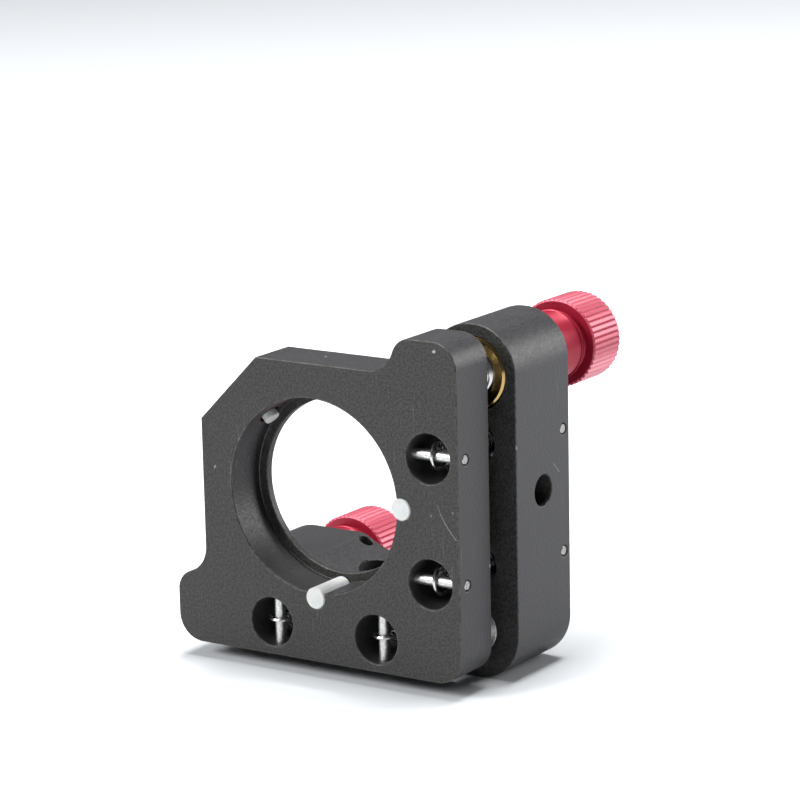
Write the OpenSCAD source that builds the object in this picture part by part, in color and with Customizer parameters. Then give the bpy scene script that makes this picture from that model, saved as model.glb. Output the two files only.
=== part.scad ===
// Two-axis kinematic mirror mount: a tilting front plate holds a round optic and is
// drawn by four springs against a pivot ball and the ball tips of two fine screws.
// Origin: mouth of the base screw hole. X to the right, Y away from the optic, Z up.

/* [Optic] */
// Diameter of the optic that the mount holds
optic_d = 25.4; // [24:0.1:26.5]
// Height of the optical axis above the base
axis_h = 25.4; // [24:0.1:30]
// Diameter of the nylon locating rods
rod_d = 3; // [2.4:0.1:3.4]
// Radial clearance between the optic and the bore that surrounds it
bore_clear = 0.8; // [0.4:0.05:1]
// How far the rear lip reaches in past the bore wall
lip_reach = 1.33; // [1:0.01:1.8]
// Thickness of the rear lip
lip_t = 1.2; // [0.8:0.1:2]

/* [Front plate] */
// Thickness of the front plate
front_t = 7.7; // [6.5:0.1:9.5]
// How far the front plate stands in from the base and the side face of the back plate
base_lift = 2.2; // [1.5:0.1:3]
// Height of the lobes above the stepped-in edges
lobe_rise = 4.9; // [4.2:0.1:5.7]
// Legs of the flat across the stepped-in corner
corner_cut = 9.5; // [8:0.1:11]
// Radius of the outer corners
front_corner_r = 3.75; // [3:0.05:5]
// Radius of the round end of each lobe
lobe_r = 3; // [2:0.1:3.5]
// Radius of the hollow beside each lobe
hollow_r = 4.1; // [3:0.1:5]
// Distance from the round end of each lobe to the far edge of the plate
lobe_w = 7.1; // [6.2:0.1:7.7]

/* [Back plate] */
// Gap between the plates at rest
gap = 3.3; // [2.8:0.1:3.6]
// Thickness of the back plate
back_t = 13.6; // [12:0.1:17]
// How far the free ends of the arms reach past the adjusters
arm_end = 6.8; // [5.8:0.1:9.3]
// How far the inner edges of the arms cut into the round opening
arm_inset = 2.7; // [2:0.1:3.2]
// Radius of the outer corners of the arms
arm_corner_r = 6.5; // [4:0.1:6.5]
// How far the round opening stands back from the bore of the front plate
light_clear = 1.1; // [0:0.1:1.5]
// Radius that blends the opening into the arms
blend_r = 3; // [1:0.1:4]

/* [Post holes] */
// Clearance hole for an M4 cap screw
post_hole_d = 4.4; // [4.2:0.1:4.8]
// Counterbore for the screw's head
post_head_d = 8.4; // [7.5:0.1:9]
// Depth of the counterbore at the middle of the arm
post_head_depth = 4.6; // [4:0.1:5.5]

/* [Adjusters] */
// Thread diameter of the adjustment screws
screw_d = 6; // [5:0.1:6.5]
// Outer diameter of the brass bushings
bushing_d = 10.4; // [9:0.1:10.8]
// Distance from the pivot to each adjuster
lever = 35.35; // [34:0.05:36]
// Diameter of the ball at the tip of each screw
tip_ball_d = 4; // [3.5:0.1:4.5]
// Knob diameter over the knurl
knob_d = 12.3; // [11:0.1:12.8]
// Length of the knob head
knob_head_l = 7.2; // [6:0.1:12]
// Number of knurl ridges
knurl_count = 48; // [24:2:60]
// Depth of the knurl
knurl_depth = 0.2; // [0.1:0.05:0.5]
// Diameter of the knob's hub
hub_d = 9.4; // [8:0.1:9.8]
// Where the knob's head begins, behind the back plate
knob_stand = 8.2; // [6.5:0.1:11]
// Free travel between the hub and the back plate
knob_gap = 2.2; // [2:0.1:3]

/* [Pivot] */
// Diameter of the pivot ball
pivot_ball_d = 5; // [4.5:0.1:5.4]
// Diameter of the hardened seats
seat_d = 6.4; // [6:0.1:7]

/* [Springs] */
// Diameter of the four spring holes
spring_hole_d = 6.8; // [6:0.1:7]
// Wall between the spring holes and the outer edges of the front plate
spring_wall = 1.2; // [0.9:0.1:1.6]
// Distance from each adjuster to the spring nearer it
spring_to_screw = 9.3; // [9.1:0.1:10]
// Distance from the pivot to the spring nearer it
spring_to_pivot = 8.95; // [7.45:0.05:9.6]
// Outer diameter of the spring coils
coil_d = 4.3; // [3.6:0.1:4.6]
// Wire diameter of the springs
wire_d = 0.5; // [0.4:0.05:0.6]
// Diameter of the cross pins that hold the springs
pin_d = 1.5; // [1.2:0.1:1.8]
// Distance from the outer face of each plate to its cross pins
pin_inset_front = 2.05; // [1.8:0.05:2.4]
// The same for the back plate
pin_inset_back = 1.45; // [1.3:0.05:2]
// How far each pin enters the metal beyond its spring hole
pin_bite = 1.5; // [1:0.1:1.8]

/* [Optic screw] */
// Thread diameter of the set screw that clamps the optic
lock_d = 3; // [2.5:0.1:3.5]
// Length of the set screw
lock_l = 5; // [4:0.1:5.6]
// Diameter of its nylon tip
lock_tip_d = 2.2; // [1.6:0.1:2.4]

/* [Clearances] */
// Radial clearance of turning and sliding threads
run_clear = 0.05; // [0.03:0.01:0.08]
// Radial clearance of pressed pieces
press_clear = 0.01; // [0.01:0.01:0.03]
// Clearance between a ball and its seat
ball_clear = 0.03; // [0.02:0.01:0.05]
// Clearance between the tip ball and its groove
groove_clear = 0.08; // [0.07:0.01:0.12]
// Width of the small chamfers at hole mouths
edge_c = 0.1; // [0.05:0.05:0.4]

/* [Hidden] */
$fn = 96;
eps = 0.05;                              // overshoot of cutting tools
bite = 0.004;                            // by which arcs that meet cross each other

// Planes across Y
back_front_y = -back_t / 2;              // front face of the back plate
back_rear_y = back_t / 2;
front_rear_y = back_front_y - gap;       // rear face of the front plate
front_y = front_rear_y - front_t;        // front face of the whole mount
ball_y = back_front_y - gap / 2;         // plane of the pivot and tip balls

// Places about the optical axis, as [x, z]
base_edge = axis_h;                      // the base is as far below the axis as the side is beside it
front_edge = base_edge - base_lift;      // outer edges of the front plate
step_edge = front_edge - lobe_rise;      // its stepped-in edges
lobe_at = front_edge - lobe_w;           // centre of each lobe's round end, along the edge
light_r = optic_d / 2 + bore_clear + light_clear;       // opening of the back plate
arm_w = base_edge - light_r + arm_inset; // width of each arm
arm_mid = base_edge - arm_w / 2;         // middle line of each arm
arm_reach = lever - arm_mid + arm_end;   // free end of each arm
spring_line = front_edge - spring_hole_d / 2 - spring_wall;      // line of each pair of springs
spring_outer = lever - arm_mid - spring_to_screw;       // the spring nearer the adjuster
spring_inner = arm_mid - spring_to_pivot;               // the spring nearer the pivot
pivot_at = [arm_mid, -arm_mid];
pitch_at = [arm_mid, lever - arm_mid];
yaw_at = [arm_mid - lever, -arm_mid];
upper_side = [spring_line, spring_outer];
lower_side = [spring_line, -spring_inner];
left_base = [-spring_outer, -spring_line];
right_base = [spring_inner, -spring_line];

// Optic seat
rod_at = (optic_d + rod_d) / 2;          // rods touch the optic's rim
bore_r = optic_d / 2 + bore_clear;
lip_r = bore_r - lip_reach;
rod_proud = 0.2;
rod_l = front_t - lip_t + rod_proud;
cut_flat = (2 * step_edge - corner_cut) / sqrt(2);  // axis to the flat across the corner
lock_y = front_y + front_t / 2;
lock_tip_at = optic_d / 2 - 0.1;         // tip at rest, just past the optic's rim
lock_start = lock_tip_at + 1.5;          // inner end of the steel screw
lock_pocket = 1.2;                       // how deep the nylon sits in the screw
lock_key = 1.5;                          // across flats, in the screw's outer end
lock_hex_depth = 1.6;

// Springs and pins
coil_r = (coil_d - wire_d) / 2;
hook_r = coil_r;                         // mean radius of the hook loops
hook_clear = 0.1;                        // between a hook loop and its pin
hook_front_y = front_y + pin_inset_front - pin_d / 2 - wire_d / 2 - hook_clear + hook_r;
hook_back_y = back_rear_y - pin_inset_back + pin_d / 2 + wire_d / 2 + hook_clear - hook_r;
coil_start = hook_front_y + hook_r - wire_d;
coil_end = hook_back_y - hook_r + wire_d;
front_pin_y = front_y + pin_inset_front;
back_pin_y = back_rear_y - pin_inset_back;
pin_end = spring_line - spring_hole_d / 2 - pin_bite;   // inner end of each pin
pin_recess = 0.1;
drill_d = 2;                             // through drilling beyond each back pin

// Adjusters
ball_out = 0.95;                         // ball centre to the screw's end, which holds it
screw_front_y = ball_y + ball_out;
screw_nose = 0.5;                        // chamfer at the screw's end
screw_inside = 0.6;                      // how far its rear end lies inside the knob
knob_head_y = back_rear_y + knob_stand;
knob_end_y = knob_head_y + knob_head_l;
hub_y = back_rear_y + knob_gap;
collar_l = 0.35;                         // thin collar at the end of the hub
collar_rise = 0.25;
neck_l = 0.95;                           // neck between the collar and the head
neck_drop = 0.2;
knob_nose = 0.15;                        // chamfer in front of the knurl
knob_tail = 0.5;                         // chamfer behind it
hex_key = 2.5;                           // across flats, in the screw's rear end
hex_depth = 3;
bushing_c = 0.5;                         // chamfers of the bushing's bore
seat_l = 3;
groove_half = 60;                        // half the groove's included angle
tip_seat_y = ball_y - tip_ball_d / 2 - ball_clear;       // face of the flat seat
pivot_reach = (pivot_ball_d / 2 + ball_clear) * sqrt(2); // ball centre to the apex of its cone

// Moves a piece so that it is drawn from the optical axis and from the plane y
module at_axis(p = [0, 0], y = 0) translate([p[0], y, axis_h + p[1]]) children();
// A plate drawn as [x, z] about the optical axis, from y to y + t
module plate(y, t) at_axis(y = y + t) rotate([90, 0, 0]) linear_extrude(t) children();
// A rod along +Y from the plane y
module rod_y(p, y, r, l) at_axis(p, y) rotate([-90, 0, 0]) cylinder(r = r, h = l);
// A cone along +Y from radius r1 to radius r2
module cone_y(p, y, r1, r2, l) at_axis(p, y) rotate([-90, 0, 0]) cylinder(r1 = r1, r2 = r2, h = l);
// Chamfer c at the mouth of a hole of radius r, on the front (dir 1) or rear (dir -1) face at y
module mouth(p, y, r, dir, c = edge_c)
    at_axis(p, y) rotate([dir > 0 ? -90 : 90, 0, 0])
        translate([0, 0, -eps]) cylinder(r1 = r + c + eps, r2 = r, h = c + eps);
// Swaps X and Z about the optical axis: the mount is symmetrical about that diagonal
module swap(on = true) if (on) mirror([1, 1, 0]) children(); else children();
module swap3(on = true)
    if (on) at_axis() mirror([1, 0, 1]) translate([0, 0, -axis_h]) children();
    else children();
module both() { children(); swap() children(); }

// A rectangle with round corners, between two corner points
module round_rect(a, b, r) {
    translate([a[0] + r, a[1]]) square([b[0] - a[0] - 2 * r, b[1] - a[1]]);
    translate([a[0], a[1] + r]) square([b[0] - a[0], b[1] - a[1] - 2 * r]);
    for (x = [a[0] + r, b[0] - r], y = [a[1] + r, b[1] - r]) translate([x, y]) circle(r);
}

// Lobe on top of the stepped edge: round end, then a hollow down to the step. The two arcs
// cross by bite where they would only touch, so that the outline has no sliver there
module lobe() {
    rise = front_edge - step_edge;
    turn = acos(1 - rise / (lobe_r + hollow_r - bite));
    round_c = [lobe_at, front_edge - lobe_r];
    hollow_c = [lobe_at - (lobe_r + hollow_r - bite) * sin(turn), step_edge + hollow_r];
    difference() {
        union() {
            translate([lobe_at, step_edge - eps])
                square([front_edge - front_corner_r - lobe_at, rise + eps]);
            translate(round_c) circle(lobe_r);
            polygon([[hollow_c[0], step_edge - eps], [lobe_at, step_edge - eps], round_c, hollow_c]);
        }
        translate(hollow_c) circle(hollow_r);
    }
}

module front_outline() {
    s = front_edge;
    st = step_edge;
    union() {
        intersection() {
            round_rect([-s, -s], [s, s], front_corner_r);
            polygon([[-st, -s], [s, -s], [s, st], [corner_cut - st, st], [-st, st - corner_cut]]);
        }
        intersection() {
            round_rect([-s, -s], [s, s], front_corner_r);
            translate([s - 2 * front_corner_r, st - eps]) square([2 * front_corner_r, s - st + eps]);
        }
        intersection() {
            round_rect([-s, -s], [s, s], front_corner_r);
            translate([-s, -s]) square([s - st + eps, 2 * front_corner_r]);
        }
        both() lobe();
    }
}

// One arm of the back plate, along the base
module base_arm() round_rect([-arm_reach, -base_edge], [base_edge, arm_w - base_edge], arm_corner_r);

// Trims the sharp corner where the round opening meets the inner edge of the base arm
module opening_blend() {
    inner = arm_w - base_edge;
    reach = light_r + blend_r - bite;
    c = [-sqrt(pow(reach, 2) - pow(inner - blend_r + bite, 2)), inner - blend_r + bite];
    touch = c * light_r / reach;
    difference() {
        polygon([c, [c[0], inner + eps], [touch[0], inner + eps], touch]);
        translate(c) circle(blend_r);
    }
}

module back_outline() {
    inner = base_edge - arm_w;
    difference() {
        union() {
            both() base_arm();
            translate([0, -inner - eps]) square([inner + eps, inner + eps]);
        }
        circle(light_r);
        both() opening_blend();
    }
}

// Hole for a horizontal cross pin from the side face at x = edge, at height z and depth y;
// depth is where the drilling ends, and a relief goes on from there to relief_end
module side_pin_hole(edge, y, z, relief_end = 0) {
    at_axis([pin_end, z], y) rotate([0, 90, 0])
        cylinder(r = pin_d / 2 + press_clear, h = edge - pin_end + 1);
    at_axis([edge, z], y) rotate([0, -90, 0])
        translate([0, 0, -eps]) cylinder(r1 = pin_d / 2 + edge_c + eps, r2 = pin_d / 2, h = edge_c + eps);
    if (relief_end != 0)
        at_axis([relief_end, z], y) rotate([0, 90, 0])
            cylinder(r = drill_d / 2, h = spring_line - relief_end);
}

module cross_pin(edge, y, z)
    color("silver") at_axis([pin_end, z], y) rotate([0, 90, 0])
        cylinder(r = pin_d / 2, h = edge - pin_recess - pin_end);

// Counterbored post hole through the base arm
module post_hole() {
    translate([0, 0, -1]) cylinder(d = post_hole_d, h = axis_h);
    translate([0, 0, axis_h - light_r - post_head_depth]) cylinder(d = post_head_d, h = light_r);
}

module front_plate() color([0.1, 0.1, 0.11]) difference() {
    plate(front_y, front_t) front_outline();
    // Optic bore, its rear lip and the seats of the locating rods
    rod_y([0, 0], front_y - 1, bore_r, front_t - lip_t + 1);
    rod_y([0, 0], front_y, lip_r, front_t + 1);
    mouth([0, 0], front_y, bore_r, 1);
    for (p = [[rod_at, 0], [0, -rod_at]])
        rod_y(p, front_y - 1, rod_d / 2 + press_clear, front_t - lip_t + 1);
    // Threaded hole of the optic's set screw
    at_axis([0, 0], lock_y) rotate([0, -45, 0]) cylinder(r = lock_d / 2 + run_clear, h = cut_flat + 1);
    // Spring holes and their cross pins
    for (p = [upper_side, lower_side, left_base, right_base]) {
        rod_y(p, front_y - 1, spring_hole_d / 2, front_t + 2);
        mouth(p, front_y, spring_hole_d / 2, 1);
    }
    for (on = [false, true], z = [spring_outer, -spring_inner])
        swap3(on) side_pin_hole(front_edge, front_pin_y, z);
    // Seats of the three supports
    for (p = [pitch_at, yaw_at, pivot_at])
        rod_y(p, front_rear_y - seat_l, seat_d / 2 + press_clear, seat_l + 1);
}

module back_plate() color([0.1, 0.1, 0.11]) difference() {
    plate(back_front_y, back_t) back_outline();
    for (p = [pitch_at, yaw_at]) rod_y(p, back_front_y - 1, bushing_d / 2 + press_clear, back_t + 2);
    rod_y(pivot_at, back_front_y - 1, seat_d / 2 + press_clear, seat_l + 1);
    for (p = [upper_side, lower_side, left_base, right_base]) {
        rod_y(p, back_front_y - 1, spring_hole_d / 2, back_t + 2);
        mouth(p, back_rear_y, spring_hole_d / 2, -1);
    }
    for (on = [false, true], z = [spring_outer, -spring_inner])
        swap3(on) side_pin_hole(base_edge, back_pin_y, z, sqrt(pow(light_r, 2) - z * z) - 2);
    for (on = [false, true]) swap3(on) post_hole();
}

module locating_rod(p) color([0.92, 0.92, 0.9])
    rod_y(p, front_y - rod_proud, rod_d / 2, rod_l);
module side_locating_rod() locating_rod([rod_at, 0]);
module lower_locating_rod() locating_rod([0, -rod_at]);

// Set screw along the diagonal through the cut corner, with a hexagon socket outside
module optic_set_screw() color([0.25, 0.25, 0.27]) at_axis([0, 0], lock_y) rotate([0, -45, 0]) difference() {
    translate([0, 0, lock_start]) cylinder(d = lock_d, h = lock_l);
    translate([0, 0, lock_start - 1]) cylinder(r = lock_tip_d / 2 + press_clear, h = lock_pocket + 1);
    translate([0, 0, lock_start + lock_l - lock_hex_depth])
        cylinder(d = lock_key / cos(30), h = lock_hex_depth + 1, $fn = 6);
}
module optic_screw_tip() color([0.92, 0.92, 0.9]) at_axis([0, 0], lock_y) rotate([0, -45, 0])
    translate([0, 0, lock_tip_at]) cylinder(d = lock_tip_d, h = lock_start + lock_pocket - lock_tip_at);

module bushing(p) color([0.8, 0.62, 0.3]) difference() {
    rod_y(p, back_front_y, bushing_d / 2, back_t);
    rod_y(p, back_front_y - 1, screw_d / 2 + run_clear, back_t + 2);
    mouth(p, back_front_y, screw_d / 2 + run_clear, 1, bushing_c);
    mouth(p, back_rear_y, screw_d / 2 + run_clear, -1, bushing_c);
}
module pitch_bushing() bushing(pitch_at);
module yaw_bushing() bushing(yaw_at);

// Fine screw with a ball socket in front and a hexagon socket behind
module adjuster_screw(p) color([0.72, 0.73, 0.75]) difference() {
    union() {
        cone_y(p, screw_front_y, screw_d / 2 - screw_nose, screw_d / 2, screw_nose);
        rod_y(p, screw_front_y + screw_nose, screw_d / 2,
              knob_end_y - screw_inside - screw_front_y - screw_nose);
    }
    at_axis(p, ball_y) sphere(r = tip_ball_d / 2 + run_clear);
    at_axis(p, knob_end_y - screw_inside - hex_depth) rotate([-90, 0, 0])
        cylinder(d = hex_key / cos(30), h = hex_depth + 1, $fn = 6);
}
module pitch_screw() adjuster_screw(pitch_at);
module yaw_screw() adjuster_screw(yaw_at);

// Outline of the knurl: a ridge and a groove at each step
module knurl_outline() polygon([for (i = [0 : 2 * knurl_count - 1])
    let (r = knob_d / 2 - (i % 2) * knurl_depth, a = 180 * i / knurl_count) [r * cos(a), r * sin(a)]]);

module knob(p) color([0.78, 0.2, 0.3]) {
    r = knob_d / 2;
    difference() {
        union() {
            rod_y(p, hub_y, hub_d / 2, knob_stand - knob_gap - neck_l - collar_l);
            rod_y(p, knob_head_y - neck_l - collar_l, hub_d / 2 + collar_rise, collar_l);
            rod_y(p, knob_head_y - neck_l - eps, hub_d / 2 - neck_drop, neck_l + 2 * eps);
            intersection() {
                at_axis(p, knob_head_y) rotate([-90, 0, 0]) linear_extrude(knob_head_l) knurl_outline();
                union() {
                    cone_y(p, knob_head_y, r - knob_nose, r + eps, knob_nose + eps);
                    rod_y(p, knob_head_y + knob_nose + eps, r + eps,
                          knob_head_l - knob_nose - knob_tail - 2 * eps);
                    cone_y(p, knob_end_y - knob_tail - eps, r + eps, r - knob_tail, knob_tail + eps);
                }
            }
        }
        rod_y(p, hub_y - 1, screw_d / 2 + press_clear, knob_end_y - hub_y + 2);
    }
}
module pitch_knob() knob(pitch_at);
module yaw_knob() knob(yaw_at);

module tip_ball(p) color([0.85, 0.85, 0.87]) at_axis(p, ball_y) sphere(d = tip_ball_d);
module pitch_ball() tip_ball(pitch_at);
module yaw_ball() tip_ball(yaw_at);
module pivot_ball() color([0.85, 0.85, 0.87]) at_axis(pivot_at, ball_y) sphere(d = pivot_ball_d);

// Hardened seats: a groove that points at the pivot, a flat, and two facing cones
module pitch_groove_seat() color([0.6, 0.6, 0.62]) difference() {
    depth = (tip_ball_d / 2 + groove_clear) / sin(groove_half);
    apex = ball_y - depth;
    rod_y(pitch_at, front_rear_y - seat_l, seat_d / 2, seat_l);
    at_axis([pitch_at[0], pitch_at[1] - seat_d]) linear_extrude(2 * seat_d)
        polygon([[0, apex], [depth * tan(groove_half), ball_y], [-depth * tan(groove_half), ball_y]]);
}
module yaw_flat_seat() color([0.6, 0.6, 0.62])
    rod_y(yaw_at, front_rear_y - seat_l, seat_d / 2, tip_seat_y - front_rear_y + seat_l);
module pivot_seat_front() color([0.6, 0.6, 0.62]) difference() {
    rod_y(pivot_at, front_rear_y - seat_l, seat_d / 2, seat_l);
    cone_y(pivot_at, ball_y - pivot_reach, 0, pivot_reach, pivot_reach);
}
module pivot_seat_back() color([0.6, 0.6, 0.62]) difference() {
    rod_y(pivot_at, back_front_y, seat_d / 2, seat_l);
    cone_y(pivot_at, ball_y, pivot_reach, 0, pivot_reach);
}

// Extension spring about the point p: its closed coils as a sleeve, and at each end a turn
// that crosses over and a hook loop that stands across its pin
module spring(p, across) color([0.8, 0.8, 0.8]) union() {
    difference() {
        rod_y(p, coil_start, coil_d / 2, coil_end - coil_start);
        rod_y(p, coil_start + wire_d, coil_r - wire_d / 2, coil_end - coil_start - 2 * wire_d);
    }
    for (y = [hook_front_y, hook_back_y])
        at_axis(p, y) rotate(across) rotate_extrude() translate([hook_r, 0]) circle(d = wire_d, $fn = 24);
}
module upper_side_spring() spring(upper_side, [0, 90, 0]);
module lower_side_spring() spring(lower_side, [0, 90, 0]);
module left_base_spring() spring(left_base, [0, 0, 0]);
module right_base_spring() spring(right_base, [0, 0, 0]);

module front_pin_upper_side() cross_pin(front_edge, front_pin_y, spring_outer);
module front_pin_lower_side() cross_pin(front_edge, front_pin_y, -spring_inner);
module front_pin_left_base() swap3() cross_pin(front_edge, front_pin_y, spring_outer);
module front_pin_right_base() swap3() cross_pin(front_edge, front_pin_y, -spring_inner);
module back_pin_upper_side() cross_pin(base_edge, back_pin_y, spring_outer);
module back_pin_lower_side() cross_pin(base_edge, back_pin_y, -spring_inner);
module back_pin_left_base() swap3() cross_pin(base_edge, back_pin_y, spring_outer);
module back_pin_right_base() swap3() cross_pin(base_edge, back_pin_y, -spring_inner);

front_plate();
back_plate();
side_locating_rod();
lower_locating_rod();
optic_set_screw();
optic_screw_tip();
pitch_bushing();
pitch_screw();
pitch_knob();
pitch_ball();
pitch_groove_seat();
yaw_bushing();
yaw_screw();
yaw_knob();
yaw_ball();
yaw_flat_seat();
pivot_ball();
pivot_seat_front();
pivot_seat_back();
upper_side_spring();
lower_side_spring();
left_base_spring();
right_base_spring();
front_pin_upper_side();
front_pin_lower_side();
front_pin_left_base();
front_pin_right_base();
back_pin_upper_side();
back_pin_lower_side();
back_pin_left_base();
back_pin_right_base();
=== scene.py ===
"""Finished look of a two-axis kinematic mirror mount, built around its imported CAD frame."""

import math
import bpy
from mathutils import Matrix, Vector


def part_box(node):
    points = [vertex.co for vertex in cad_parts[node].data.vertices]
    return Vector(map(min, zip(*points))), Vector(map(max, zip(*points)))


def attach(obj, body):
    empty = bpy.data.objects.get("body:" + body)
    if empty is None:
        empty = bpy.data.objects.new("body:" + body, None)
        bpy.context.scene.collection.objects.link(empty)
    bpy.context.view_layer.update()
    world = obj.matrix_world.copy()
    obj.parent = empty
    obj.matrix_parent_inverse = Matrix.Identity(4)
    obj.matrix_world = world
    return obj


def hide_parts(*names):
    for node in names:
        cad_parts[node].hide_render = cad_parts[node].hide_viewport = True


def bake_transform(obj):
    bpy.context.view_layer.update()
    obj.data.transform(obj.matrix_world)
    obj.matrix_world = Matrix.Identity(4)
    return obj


bl_info = {
    "name": "Kinematic Mirror Mount",
    "version": (1, 0, 0),
    "blender": (4, 5, 0),
    "location": "3D View > Sidebar > Mirror Mount",
    "description": "Builds the plates, fine screws, knobs, springs and optic seat of a mirror mount",
    "category": "Add Mesh",
}

import bmesh
import bpy
from mathutils import Matrix, Vector

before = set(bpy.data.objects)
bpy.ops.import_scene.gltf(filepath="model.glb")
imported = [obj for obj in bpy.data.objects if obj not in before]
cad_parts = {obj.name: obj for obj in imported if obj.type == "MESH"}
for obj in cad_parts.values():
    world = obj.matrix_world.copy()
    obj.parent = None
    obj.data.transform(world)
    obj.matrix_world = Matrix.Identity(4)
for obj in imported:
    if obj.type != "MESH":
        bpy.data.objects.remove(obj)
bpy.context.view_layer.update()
MM = 0.001

# ---------------------------------------------------------------- places, from the frame


def span(node, axis):
    """Lowest and highest millimetre of a CAD node along an axis (0, 1 or 2)."""
    low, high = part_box(node)
    return low[axis] / MM, high[axis] / MM


def middle(node):
    """Centre of a CAD node's box, in millimetres."""
    low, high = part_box(node)
    return (low + high) / 2 / MM


FRONT_Y = span("front_plate", 1)[0]
AXIS_Z = middle("side_locating_rod").z
SIDES = ("pitch", "yaw")
SPRINGS = {
    "upper_side": "x",
    "lower_side": "x",
    "left_base": "z",
    "right_base": "z",
}


def place(x, depth, up):
    """A point beside and above the optical axis and behind the front face, from mm to metres."""
    return (x * MM, (FRONT_Y + depth) * MM, (AXIS_Z + up) * MM)


# Nicks and scratches on the plates: start, end, width in metres and how bright they are
WEAR = (
    (place(19.82, 0, 21.88), place(19.92, 0, 21.94), 0.00034, 0.9),
    (place(-16.25, 0, 2.1), place(-16.15, 0, 2.3), 0.00024, 0.5),
    (place(20.0, 0, 1.2), place(20.45, 0, 0.05), 0.00011, 0.2),
    (place(20.45, 0, 0.05), place(21.1, 0, -1.05), 0.00012, 0.28),
    (place(21.1, 0, -1.05), place(21.95, 0, -2.15), 0.00013, 0.32),
    (place(21.95, 0, -2.15), place(22.8, 0, -3.1), 0.00013, 0.38),
    (place(18.9, 0, -0.2), place(19.0, 0, -0.25), 0.0002, 0.3),
    (place(22.3, 0, 0.6), place(22.4, 0, 0.55), 0.0002, 0.3),
    (place(-0.5, 4.6, 18.3), place(-0.4, 4.6, 18.3), 0.0003, 0.6),
    (place(23.2, 7.5, -8.2), place(23.2, 7.6, -8.5), 0.00025, 0.45),
    (place(25.4, 11.1, 7.5), place(25.4, 11.1, 7.1), 0.0002, 0.6),
    (place(25.4, 20.5, 3.1), place(25.4, 21.9, 1.7), 0.00011, 0.3),
    (place(22.2, 15.3, 23.0), place(22.3, 15.4, 23.0), 0.0003, 0.4),
)


# ---------------------------------------------------------------- what a user can change


class MountSizes(bpy.types.PropertyGroup):
    """Sizes of the details, in millimetres where they are lengths."""

    edge_break: bpy.props.FloatProperty(
        name="Edge break", description="Width of the small chamfers on the plates, in mm",
        default=0.12, min=0.02, max=0.35)
    small_edge_break: bpy.props.FloatProperty(
        name="Small edge break", description="Width of the chamfers on turned pieces, in mm",
        default=0.1, min=0.02, max=0.2)
    knurl_ridges: bpy.props.IntProperty(
        name="Knurl ridges", description="Straight ridges round each knob",
        default=48, min=12, max=72)
    knurl_depth: bpy.props.FloatProperty(
        name="Knurl depth", description="Depth of the knurl, in mm",
        default=0.25, min=0.05, max=0.6)
    fine_pitch: bpy.props.FloatProperty(
        name="Fine thread pitch", description="Pitch of the adjustment screws, in mm",
        default=0.25, min=0.2, max=0.5)
    coil_pitch: bpy.props.FloatProperty(
        name="Coil pitch", description="Distance between the turns of a spring, in mm",
        default=0.64, min=0.5, max=1.5)
    wire: bpy.props.FloatProperty(
        name="Spring wire", description="Diameter of the spring wire, in mm",
        default=0.5, min=0.3, max=0.6)


def colour(name, description, value):
    """A colour property with its default."""
    return bpy.props.FloatVectorProperty(
        name=name, description=description, subtype="COLOR", size=3,
        default=value, min=0.0, max=1.0)


class MountFinishes(bpy.types.PropertyGroup):
    """Colours of the finishes."""

    black: colour("Black anodise", "Blasted faces of the plates", (0.026, 0.0255, 0.0235))
    flank: colour("Anodised flank", "Milled flanks and holes of the plates", (0.024, 0.0225, 0.024))
    # Lighter than the black: worn edges, and partly a painted highlight along the broken edges
    edge: colour("Anodised edge", "Broken edges of the plates", (0.05, 0.049, 0.046))
    bare: colour("Bare metal", "Nicks and scratches", (0.42, 0.42, 0.41))
    red: colour("Red anodise", "Knurled heads of the knobs", (0.50, 0.065, 0.11))
    # A darker copy of the red: painted shade on the knob hubs and the heads' front faces, as if in
    # the shadow of the back plate and the heads
    deep_red: colour("Red anodise, painted shade", "Turned hubs of the knobs", (0.34, 0.012, 0.035))
    # Darker than clean brass: painted shade of the gap between the plates, where the bushings sit
    brass: colour("Brass", "Bushings", (0.44, 0.30, 0.12))
    steel: colour("Steel", "Screws, pins and springs", (0.62, 0.615, 0.60))
    worn_steel: colour("Ground ends", "End faces of the pins", (0.30, 0.29, 0.285))
    oxide: colour("Black oxide", "Set screw", (0.03, 0.03, 0.032))
    nylon: colour("Nylon", "Locating rods and screw tip", (0.55, 0.56, 0.55))


class MountStage(bpy.types.PropertyGroup):
    """Camera, floor and lights."""

    azimuth: bpy.props.FloatProperty(
        name="Azimuth", description="Direction from which the camera looks",
        default=math.radians(33.84), subtype="ANGLE")
    elevation: bpy.props.FloatProperty(
        name="Elevation", description="Camera angle above the horizon",
        default=math.radians(14.44), subtype="ANGLE")
    roll: bpy.props.FloatProperty(
        name="Roll", description="Camera turn about its own axis",
        default=math.radians(-1.28), subtype="ANGLE")
    distance: bpy.props.FloatProperty(
        name="Distance", description="From the camera to the mount",
        default=0.4821, min=0.1, max=2.0, subtype="DISTANCE")
    lens: bpy.props.FloatProperty(
        name="Lens", description="Focal length in mm on a 36 mm sensor",
        default=159.34, min=20, max=300)
    floor: colour("Floor", "Plain floor and backdrop", (0.62, 0.64, 0.66))
    light: bpy.props.FloatProperty(
        name="Light", description="Strength of the studio lights", default=1.0, min=0.0, max=5.0)


def sizes():
    return bpy.context.scene.mount_sizes


def finishes():
    return bpy.context.scene.mount_finishes


# ---------------------------------------------------------------- shader groups

MOTTLE_SCALE, MOTTLE_CONTRAST = 70.0, 0.16  # slow change of shade over a blasted face
PATCH_SCALE = 420.0  # patches on turned faces
STREAK_SCALE, SCUFF_AREA_SCALE = 2600.0, 130.0  # scuffs, and the areas where they show
RAGGED_SCALE = 6000.0  # ragged edge of a scratch
SCRATCH_CORE = 0.4  # share of a scratch's width that is fully bare


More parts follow.
